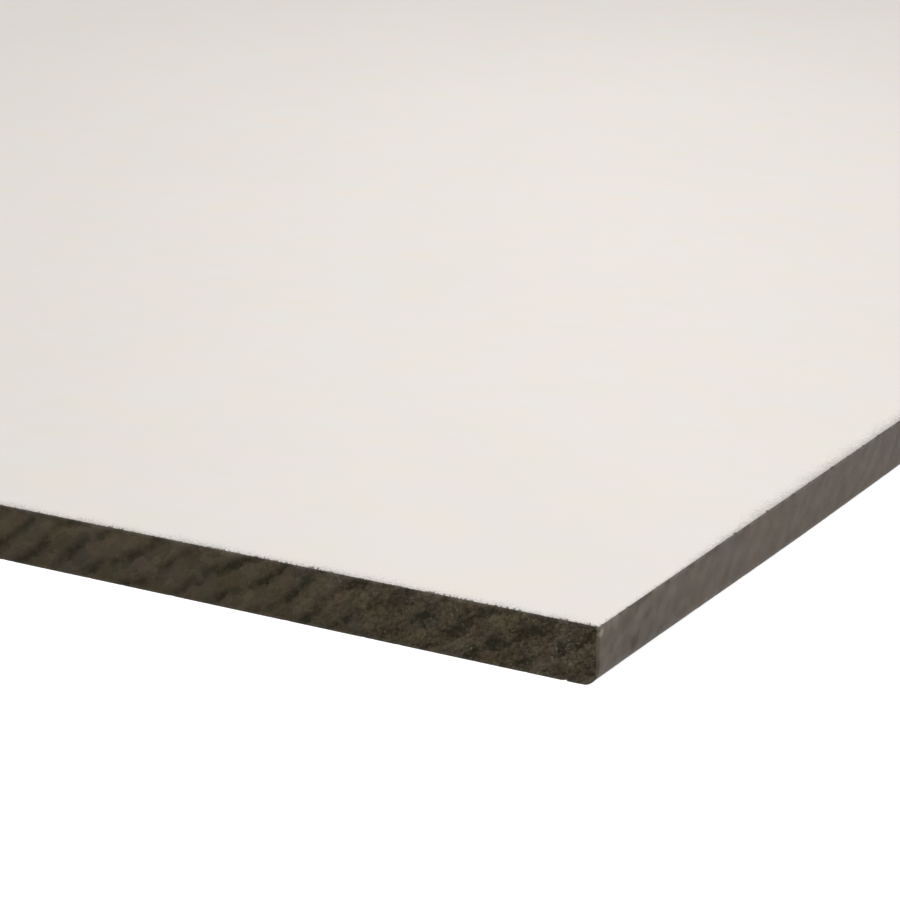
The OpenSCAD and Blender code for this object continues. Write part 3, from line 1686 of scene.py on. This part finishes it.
    def relief(self, w: Wiring, drawn: DrawnEdge) -> Socket:
        """Works out how high each point stands.

        Args:
            w: The material's wiring.
            drawn: The layers.

        Returns:
            The height, as a share of the bump.
        """
        height = w.times(drawn.marks, -self.MARK_HEIGHT)
        for layer, torn in (
            (self.lumps, drawn.lumps), (self.scratches, drawn.scratches),
            (self.specks, drawn.specks), (self.nibs, drawn.nibs),
        ):
            height = w.scaled(torn["Tone"], layer.height, height)
        height = w.scaled(drawn.shards["Tone"], self.SHARD_HEIGHT, height)
        return w.times(height, drawn.crisp)

    def wear_and_painted_light(
        self, w: Wiring, effects: SheetEffects, drawn: DrawnEdge, colour: Socket
    ) -> Socket:
        """Adds the painted shade under an end's rounding, the painted highlight along the
        edges, the scorched spots, the paler crushed fibre with its painted highlight, and the
        knocks.

        Args:
            w: The material's wiring.
            effects: The shared node groups.
            drawn: The layers.
            colour: The colour so far.

        Returns:
            The colour with these marks.
        """
        place = drawn.place
        spot = place["Edge Spot"]
        # Painted shade: the rounding under an end is darkened toward the pit colour.
        under = w.rise(place["From End"], *self.UNDERCUT_SHADE_MM)
        under = w.times(under, w.math("LESS_THAN", place["From End"], self.undercut_shade_mm))
        colour = w.mix(w.times(under, self.shade), colour, self.pit)
        # Painted highlight: a paler ragged band along the upper and lower edges of the face.
        edge = w.math("MINIMUM", place["From Top"], place["Height"])
        rim_highlight = self.RIM_HIGHLIGHT.mask(w, effects, spot, edge)
        colour = w.mix(w.times(rim_highlight, self.rim_highlight), colour, self.rim_highlight_colour)

        line = w.times(self.SCORCHED_IN.mask(w, spot), self.SCORCHED.width)
        scorched = self.SCORCHED.mask(w, effects, spot, place["From Top"], line)
        colour = w.mix(w.times(scorched, self.scorch), colour, self.pit)

        # Paler fibre beside the upright corners, widening upward: crushed fibre and partly a
        # painted highlight of the corner's rounding.
        reach = w.rise(place["Height"], *self.CRUSHED_HIGHLIGHT_HEIGHTS_MM)
        reach = w.scaled(reach, self.CRUSHED_HIGHLIGHT_SPREAD_MM, self.CRUSHED_AND_HIGHLIGHT.width)
        crushed_and_highlight = self.CRUSHED_AND_HIGHLIGHT.mask(w, effects, spot, place["From Side"], reach)
        colour = w.mix(w.times(crushed_and_highlight, self.crushed_and_highlight), colour, self.fleck)

        from_side, from_top = self.KNOCK_AT_MM
        off = w.flat_place(
            w.math("SUBTRACT", place["From Side"], from_side),
            w.math("SUBTRACT", place["From Top"], from_top),
        )
        away = w.node("VectorMath", {0: off}, operation="LENGTH").outputs["Value"]
        knocked = self.KNOCKED.mask(w, effects, spot, away)
        drawn_out = w.place_math("MULTIPLY", drawn.stroke, self.STROKE_SQUEEZE)
        strokes = self.STROKES.mask(w, drawn_out)
        knocked = w.times(knocked, w.between(strokes, *self.STROKE_SHARES))
        return w.mix(w.times(knocked, self.knock), colour, self.bruise)


@dataclass(frozen=True)
class RimPlace:
    """Where a point of a decor face lies from its rim, as sockets.

    Attributes:
        place: The sockets that say where a point is.
        inside: How far inside the arris it is.
        far: How far along it is from the corners, from 0 to 1.
        on_side: 1 beside a long side and 0 beside a short end.
    """

    place: Outputs
    inside: Socket
    far: Socket
    on_side: Socket


@dataclass(frozen=True)
class DecorFinish:
    """The matte off-white melamine face.

    Attributes:
        name: The material's name.
        colour: Its colour.
        deeper: The colour of its faintly deeper clouds.
        yellower: Tints of the yellowest and of the bluest patches.
        pinker: Tints of the pinkest and of the greenest patches.
        core: The colour of core dust and torn fibre along the rim, of the haze, and of the
            painted shade on the arris and round the lower decor.
        rim_mm: Width of the rim that they cover. On the lower decor this rim is painted shade
            along the bottom arris.
        fuzz_mm: How unevenly they reach past it.
        whisker_mm: Length of the longest fibres that stick out over it.
        haze: How dark the haze along the rim is, which darkens toward the arris.
        end_haze_mm: How far in it fades away, near a corner of an end and far from one.
        side_haze_mm: The same on a side.
        chipped: The colour of fresh chips in the decor's rim.
        chipped_weight: How far a chip takes its own colour.
        bump_mm: Height of the pressed texture.
        roughness: Roughness of the surface.
        specular: Its specular level.
    """

    name: str
    colour: Colour
    deeper: Colour
    yellower: tuple[Colour, Colour]
    pinker: tuple[Colour, Colour]
    core: Colour
    rim_mm: float
    fuzz_mm: float
    whisker_mm: float
    haze: float
    end_haze_mm: tuple[float, float]
    side_haze_mm: tuple[float, float]
    chipped: Colour
    chipped_weight: float
    bump_mm: float
    roughness: float
    specular: float

    # The clouds, the pressed texture, the size of the tinted patches, and how much the
    # first two change the roughness.
    CLOUDS = Patches(size_mm=55.0, detail=3.0, seed=2.0, levels=(0.3, 0.7))
    TEXTURE = Patches(size_mm=0.5, detail=2.0, seed=13.0)
    DRIFT_MM = 12.0
    CLOUD_ROUGHNESS = 0.08
    TEXTURE_ROUGHNESS = 0.06
    # The width of the arris, and where "near a corner" ends and "far from one" begins.
    ARRIS_MM = 0.2
    CORNER_MM = (15.0, 70.0)
    # The chips, and how strong they are on a side.
    CHIPS = Ragged(width=-0.27, raggedness=3.0, tooth=0.5, softness=0.15)
    SIDE_CHIPS = 0.4
    # The haze: the long spells and the small teeth that change how far in it reaches,
    # and by how much, where it starts, how fast it falls off, and the painted shade that
    # it adds on the arris far from a corner.
    HAZE_SPELLS = Patches(size_mm=6.0, detail=0.0, seed=71.0, levels=(0.3, 0.7))
    SPELL_REACH = (1.1, 1.4)
    HAZE_TEETH = Patches(size_mm=0.4, detail=2.0, seed=83.0, levels=(0.35, 0.65))
    TOOTH_REACH = (0.55, 1.45)
    HAZE_START_MM = -0.5
    HAZE_FALL = 2.2
    ARRIS_SHADE = 0.15
    # The core dust, which on the lower decor is a rim of painted shade: where it crowds,
    # its least fuzz as a share of the most, its teeth, and how far it takes the core's
    # colour.
    CROWDS = Patches(size_mm=9.0, detail=1.0, seed=8.0, levels=(0.35, 0.65))
    LEAST_FUZZ = 0.3
    DUST_AND_SHADE_TOOTH_MM = 0.3
    DUST_AND_SHADE_SOFTNESS_MM = 0.1
    DUST_AND_SHADE_WEIGHT = 0.85
    # The torn fibres: their size, lean and rarity, their least length as a share of the
    # most, and how many there are near the corners of an end, beside a side.
    WHISKER_SIZE_MM = 0.42
    WHISKER_LEAN = -0.5
    WHISKER_RARITY = 0.42
    LEAST_WHISKER = 0.25
    END_FRAY = 0.2

    def material(self, effects: SheetEffects) -> bpy.types.Material:
        """Makes the material.

        Args:
            effects: The shared node groups.

        Returns:
            The material.
        """
        material, w = new_material(self.name)
        place = w.group(effects.place, {})
        spot = place["Spot"]
        clouds = self.CLOUDS.noise(w, spot)
        share = w.rise(clouds, *self.CLOUDS.levels)
        colour = w.mix(share, self.colour, self.deeper)
        drift = w.group(effects.hue_drift, {"Grain": spot, "Size": self.DRIFT_MM})
        colour = tinted(w, colour, drift, self.yellower, self.pinker)
        colour = self.rim(w, effects, place, colour)
        texture = self.TEXTURE.noise(w, spot)
        rough = w.scaled(
            clouds, self.CLOUD_ROUGHNESS, self.roughness - self.CLOUD_ROUGHNESS / 2
        )
        rough = w.scaled(texture, self.TEXTURE_ROUGHNESS, rough)
        cover(w, colour, rough, texture, self.bump_mm, self.specular)
        return material

    def rim(
        self, w: Wiring, effects: SheetEffects, place: Outputs, colour: Socket
    ) -> Socket:
        """Adds the chips, the haze, the core dust and the torn fibres along the rim; on the
        lower decor the core dust is a rim of painted shade.

        Args:
            w: The material's wiring.
            effects: The shared node groups.
            place: The sockets that say where a point is.
            colour: The colour so far.

        Returns:
            The colour with its rim.
        """
        at = RimPlace(
            place=place,
            inside=w.math("SUBTRACT", place["From Rim"], self.ARRIS_MM),
            far=w.rise(place["From Corner"], *self.CORNER_MM),
            on_side=w.math("LESS_THAN", place["From Side"], place["From End"]),
        )
        side_weight = self.SIDE_CHIPS * self.chipped_weight
        kept = w.between(at.on_side, self.chipped_weight, side_weight)
        kept = w.times(kept, w.opposite(at.far))
        chips = w.times(self.CHIPS.mask(w, effects, place["Spot"], at.inside), kept)
        colour = w.mix(chips, colour, self.chipped)
        colour = w.mix(self.draw_haze(w, at), colour, self.core)
        return w.mix(self.draw_dust_and_shade(w, effects, at), colour, self.core)

    def draw_haze(self, w: Wiring, at: RimPlace) -> Socket:
        """Draws the haze along the rim, darkest toward the arris, and the painted shade on
        the arris.

        Args:
            w: The material's wiring.
            at: Where a point lies from the rim.

        Returns:
            How much of the core's colour it gives.
        """
        spot = at.place["Spot"]
        on_end, on_side = (
            w.between(at.far, *reaches) for reaches in (self.end_haze_mm, self.side_haze_mm)
        )
        reach = w.scaled(at.on_side, w.math("SUBTRACT", on_side, on_end), on_end)
        spells = w.between(self.HAZE_SPELLS.mask(w, spot), *self.SPELL_REACH)
        teeth = w.between(self.HAZE_TEETH.mask(w, spot), *self.TOOTH_REACH)
        reach = w.times(w.times(reach, spells), teeth)
        haze = w.opposite(w.rise(at.inside, self.HAZE_START_MM, reach))
        haze = w.times(w.math("POWER", haze, self.HAZE_FALL), self.haze)
        # Painted shade on the arris far from a corner, in the core's colour.
        on_arris = w.opposite(w.rise(at.inside, -self.ARRIS_MM, self.ARRIS_MM))
        return w.scaled(on_arris, w.times(at.far, self.ARRIS_SHADE), haze)

    def draw_dust_and_shade(self, w: Wiring, effects: SheetEffects, at: RimPlace) -> Socket:
        """Draws the core dust, which on the lower decor is painted shade along the bottom
        arris, and the torn fibres that stick out over it.

        Args:
            w: The material's wiring.
            effects: The shared node groups.
            at: Where a point lies from the rim.

        Returns:
            How much of the core's colour they give.
        """
        spot = at.place["Spot"]
        crowd = self.CROWDS.mask(w, spot)
        least = self.LEAST_FUZZ * self.fuzz_mm
        # On the lower decor this band is painted shade along the bottom arris.
        dust = w.group(effects.ragged_line, {
            "Where": spot, "Distance": at.place["From Rim"], "Width": self.rim_mm,
            "Raggedness": w.between(crowd, least, self.fuzz_mm),
            "Tooth": self.DUST_AND_SHADE_TOOTH_MM, "Softness": self.DUST_AND_SHADE_SOFTNESS_MM,
        })["Mask"]
        least = self.LEAST_WHISKER * self.whisker_mm
        whiskers = w.group(effects.whiskers, {
            "Along": at.place["Along"], "Distance": at.inside,
            "Size": self.WHISKER_SIZE_MM, "Lean": self.WHISKER_LEAN,
            "Rarity": self.WHISKER_RARITY,
            "Reach": w.between(crowd, least, self.whisker_mm),
        })["Mask"]
        frayed = w.times(w.opposite(at.far), self.END_FRAY)
        whiskers = w.times(whiskers, w.math("MAXIMUM", at.on_side, frayed))
        return w.times(w.math("MAXIMUM", dust, whiskers), self.DUST_AND_SHADE_WEIGHT)


# ---------------------------------------------------------------------------
# Studio
# ---------------------------------------------------------------------------


@dataclass(frozen=True)
class View:
    """The camera, aimed at a spot on the upper face near the near corner.

    Attributes:
        from_end: How far in from the +X end the aim is.
        from_side: How far in from the -Y side.
        distance: Distance from the camera to the aim.
        azimuth: Which way it looks, in degrees. 0 looks along +Y.
        elevation: How far it looks down, in degrees.
        roll: Its roll, in degrees.
        lens: Focal length, in millimetres.
    """

    from_end: float = 64.7 * MM
    from_side: float = 66.7 * MM
    distance: float = 515.3 * MM
    azimuth: float = 29.90
    elevation: float = 17.54
    roll: float = -0.12
    lens: float = 112.16

    # The sensor's width, and the nearest and furthest that the camera sees.
    SENSOR_MM = 36.0
    NEAREST, FURTHEST = 0.01, 200.0

    def place(self, low: Vector, high: Vector) -> bpy.types.Object:
        """Puts the camera in the scene.

        Args:
            low: The sheet's lowest corner.
            high: Its highest corner.

        Returns:
            The camera's object.
        """
        aim = Vector((high.x - self.from_end, low.y + self.from_side, high.z))
        tilt = Matrix.Rotation(math.radians(90 - self.elevation), 4, "X")
        turn = Matrix.Rotation(math.radians(self.azimuth), 4, "Z")
        roll = Matrix.Rotation(math.radians(-self.roll), 4, "Z")
        facing = turn @ tilt @ roll
        back = facing @ Vector((0, 0, 1))
        data = bpy.data.cameras.new("camera")
        data.lens = self.lens
        data.sensor_width = self.SENSOR_MM
        data.clip_start, data.clip_end = self.NEAREST, self.FURTHEST
        camera = bpy.data.objects.new("camera", data)
        camera.matrix_world = Matrix.Translation(aim + back * self.distance) @ facing
        bpy.context.scene.collection.objects.link(camera)
        bpy.context.scene.camera = camera
        return camera


@dataclass(frozen=True)
class Studio:
    """A white floor, an even white surround and one long soft lamp.

    Attributes:
        floor_size: Side of the floor.
        floor_gap: How far under the sheet the floor lies.
        floor_colour: The floor's own colour.
        floor_lift: How much whiter the floor is to the camera than to the sheet.
        ambient: Strength of the light from all round.
        lamp_size: Width and length of the lamp, which points straight down.
        lamp_turn: Which way its length runs, in degrees. 0 is along Y.
        lamp_from: Where its middle hangs, from the near corner.
        lamp_power: Its power in watts.
    """

    floor_size: float = 50.0
    floor_gap: float = 0.05 * MM
    floor_colour: Colour = (0.9, 0.9, 0.9)
    floor_lift: float = 0.82
    ambient: float = 0.758
    lamp_size: tuple[float, float] = (0.1, 0.76)
    lamp_turn: float = 29.9
    lamp_from: Point = (-0.09, 0.205, 0.24)
    lamp_power: float = 0.284

    # The surround's colour, and its strength where it is seen directly.
    WHITE = (1.0, 1.0, 1.0)
    SEEN_AT = 1.0

    def seen_directly(self, w: Wiring) -> Socket:
        """Tells the rays that show the surround as such from those that light.

        Args:
            w: The wiring of the floor or of the world.

        Returns:
            A socket that is 1 for the first kind and 0 for the second.
        """
        path = w.node("LightPath").outputs
        seen = w.math("MAXIMUM", path["Is Camera Ray"], path["Is Glossy Ray"])
        return w.math("MAXIMUM", seen, path["Is Transmission Ray"])

    def build(self, low: Vector, high: Vector) -> None:
        """Builds the studio round the sheet.

        Args:
            low: The sheet's lowest corner.
            high: Its highest corner.
        """
        self.floor(low)
        self.surround()
        self.lamp(Vector((high.x, low.y, high.z)))
        bpy.context.scene.view_settings.view_transform = "Standard"

    def floor(self, low: Vector) -> None:
        """Lays the floor.

        Args:
            low: The sheet's lowest corner.
        """
        half, z = self.floor_size / 2, low.z - self.floor_gap
        corners = [(-half, -half, z), (half, -half, z), (half, half, z), (-half, half, z)]
        mesh = bpy.data.meshes.new("floor")
        mesh.from_pydata(corners, [], [(0, 1, 2, 3)])
        floor = bpy.data.objects.new("floor", mesh)
        bpy.context.scene.collection.objects.link(floor)
        material, w = new_material("studio_floor")
        matte = w.node("BsdfDiffuse", {"Color": self.floor_colour}).outputs[0]
        lift = w.times(self.seen_directly(w), self.floor_lift)
        glow = w.node("Emission", {"Strength": lift}).outputs[0]
        both = w.node("AddShader", {0: matte, 1: glow}).outputs[0]
        w.node("OutputMaterial", {"Surface": both})
        mesh.materials.append(material)

    def surround(self) -> None:
        """Sets the light from all round."""
        world = bpy.data.worlds.new("surround")
        bpy.context.scene.world = world
        world.use_nodes = True
        world.node_tree.nodes.clear()
        w = Wiring(world.node_tree)
        strength = w.between(self.seen_directly(w), self.ambient, self.SEEN_AT)
        light = w.node("Background", {"Color": self.WHITE, "Strength": strength})
        w.node("OutputWorld", {"Surface": light.outputs[0]})

    def lamp(self, corner: Vector) -> None:
        """Hangs the lamp.

        Args:
            corner: The sheet's near corner.
        """
        data = bpy.data.lights.new("soft_lamp", "AREA")
        data.shape, data.energy = "RECTANGLE", self.lamp_power
        data.size, data.size_y = self.lamp_size
        lamp = bpy.data.objects.new("soft_lamp", data)
        lamp.location = corner + Vector(self.lamp_from)
        lamp.rotation_euler = (0.0, 0.0, math.radians(self.lamp_turn))
        lamp.visible_camera = False
        bpy.context.scene.collection.objects.link(lamp)


# ---------------------------------------------------------------------------
# The sheet as it stands
# ---------------------------------------------------------------------------

RIP_MARKS = SawMarks(pitch_mm=8.2, slant=33.0, width=0.33, sway=0.14)
CROSS_MARKS = SawMarks(pitch_mm=12.0, slant=37.0, width=0.26, sway=0.18)

RELIEFS = {
    Cut.SIDE: SawnRelief(
        RIP_MARKS, mark_depth=0.06 * MM, tear_depth=0.14 * MM, tear_size=1.9 * MM,
        pit_depth=0.03 * MM, pit_size=0.7 * MM, seed=3.1,
    ),
    Cut.END: SawnRelief(
        CROSS_MARKS, mark_depth=0.03 * MM, tear_depth=0.015 * MM, tear_size=2.2 * MM,
        pit_depth=0.005 * MM, pit_size=0.9 * MM, seed=41.7,
    ),
}

RIPPED_SIDE = SawnFinish(
    name="ripped_kraft", marks=RIP_MARKS, lie=32.0,
    dark=(0.0175, 0.0142, 0.0068), light=(0.120, 0.0925, 0.0615),
    mark_weight=0.38, jog=0.12, broken=(0.24, 0.56),
    lumps=Fibre(size_mm=2.8, stretch=2.4, weight=0.30, height=0.8),
    scratches=Fibre(size_mm=0.6, stretch=3.0, weight=0.6, height=0.4),
    specks=Fibre(size_mm=0.28, stretch=1.2, weight=0.65, height=0.5, rarity=0.14),
    nibs=Fibre(size_mm=0.42, stretch=2.0, weight=0.5, height=0.4, rarity=0.15),
    nibs_lean=False,
    shards=Flakes(size_mm=1.6, stretch=2.2, bend=1.1, overlap_shade=0.2, weight=0.28),
    chaff=Flakes(size_mm=0.45, stretch=1.6, bend=1.0, overlap_shade=0.2, weight=0.48),
    pit=(0.009, 0.0072, 0.0045), fleck=(0.22, 0.183, 0.135),
    pit_shade_weight=0.6, gouge_shade_weight=0.35, seam_shade_weight=0.25, fleck_weight=0.75,
    greyer=((0.95, 1.00, 1.12), (1.025, 1.00, 0.89)),
    redder=((1.020, 0.970, 1.008), (0.955, 1.030, 0.975)), drift_mm=3.6,
    rim_highlight=0.05, scorch=0.35,
    calm=0.85, settle=0.0, calm_mm=(15.0, 85.0),
    roughness=0.75, specular=0.1, bump_mm=0.10,
    crushed_and_highlight=0.0, knock=0.0, undercut_shade_mm=0.0, shade=0.0, bruise=(0.28, 0.25, 0.20),
    rim_highlight_colour=(0.80, 0.77, 0.73),
)

# The end's dark and light are paler than the side's: partly its smoother crosscut, and partly
# painted light, standing in for the end being lit more than the side.
CROSSCUT_END = replace(
    RIPPED_SIDE, name="crosscut_kraft", marks=CROSS_MARKS, lie=28.0,
    dark=(0.0385, 0.0240, 0.0122), light=(0.1415, 0.1175, 0.0925),
    mark_weight=0.13, jog=0.25, broken=(0.36, 0.62),
    lumps=Fibre(size_mm=3.2, stretch=1.4, weight=1.4, height=0.8, detail=0.8),
    scratches=Fibre(size_mm=1.6, stretch=1.2, weight=0.35, height=0.2, detail=0.5),
    specks=Fibre(size_mm=0.45, stretch=1.0, weight=0.4, height=0.15, rarity=0.2),
    nibs=Fibre(size_mm=1.3, stretch=1.9, weight=0.15, height=0.2, rarity=0.13, detail=1.0),
    nibs_lean=True,
    shards=Flakes(size_mm=1.8, stretch=1.2, bend=1.0, overlap_shade=0.3, weight=0.08),
    chaff=Flakes(size_mm=0.5, stretch=1.2, bend=0.8, overlap_shade=0.3, weight=0.06),
    gouge_shade_weight=0.22, seam_shade_weight=0.0, fleck_weight=0.2,
    greyer=((0.97, 1.00, 1.06), (1.03, 1.00, 0.94)),
    redder=((1.050, 0.960, 1.005), (0.980, 1.020, 0.985)), drift_mm=6.0,
    rim_highlight=0.12, scorch=0.4, calm=0.85, settle=0.55, calm_mm=(4.0, 50.0),
    roughness=0.5, specular=0.10, bump_mm=0.03, crushed_and_highlight=0.08, knock=0.95,
    undercut_shade_mm=3.0, shade=0.25,
)

DECOR_FACE = DecorFinish(
    name="decor_white", colour=(0.836, 0.790, 0.737), deeper=(0.832, 0.785, 0.732),
    yellower=((1.000, 1.000, 0.980), (1.000, 1.000, 1.024)),
    pinker=((1.012, 0.994, 1.000), (0.990, 1.005, 1.000)),
    core=(0.05, 0.040, 0.028), rim_mm=0.0, fuzz_mm=1.6, whisker_mm=1.6,
    haze=0.46, end_haze_mm=(0.75, 3.0), side_haze_mm=(2.5, 2.7),
    chipped=(0.95, 0.945, 0.93), chipped_weight=0.8,
    bump_mm=0.004, roughness=0.55, specular=0.35,
)

# The lower decor: its core dust reaches 2.6 mm in, a dark rim that is painted shade at the
# bottom arris, where the sheet rests on the floor.
DECOR_BACK = replace(
    DECOR_FACE, name="decor_back", rim_mm=2.6, fuzz_mm=1.0, chipped_weight=0.0,
)


def dress(pieces: dict[str, bpy.types.Object], sheet: LaminateSheet) -> None:
    """Gives each piece its finish and its place in the frame.

    Args:
        pieces: The sheet's pieces by name.
        sheet: The sheet they belong to.
    """
    effects = SheetEffects(sheet.high)
    core = pieces["kraft_core"]
    for finish in (RIPPED_SIDE, CROSSCUT_END):
        core.data.materials.append(finish.material(effects))
    bands = len(core.data.polygons) - 2 * len(sheet.filling)
    kind = np.full(len(core.data.polygons), Cut.SIDE.value, dtype=np.int32)
    round_rim = sheet.rim.pick(Cut.END.value, Cut.SIDE.value)
    kind[:bands] = np.tile(round_rim, bands // len(round_rim))
    core.data.polygons.foreach_set("material_index", kind)
    for name, finish in (("upper_decor", DECOR_FACE), ("lower_decor", DECOR_BACK)):
        pieces[name].data.materials.append(finish.material(effects))
    for piece in pieces.values():
        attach(piece, "root")
        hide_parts("sheet")


def main() -> None:
    """Builds the sheet, dresses it, reports its pieces and sets up the studio."""
    logging.basicConfig(level=logging.INFO, format="%(name)s: %(message)s")
    low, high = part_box("sheet")
    View().place(low, high)
    sheet = LaminateSheet(low, high, RELIEFS)
    pieces = sheet.build()
    dress(pieces, sheet)
    for name, piece in pieces.items():
        log.info("%s: %d faces", name, len(piece.data.polygons))
    Studio().build(low, high)


if __name__ == "__main__":
    main()
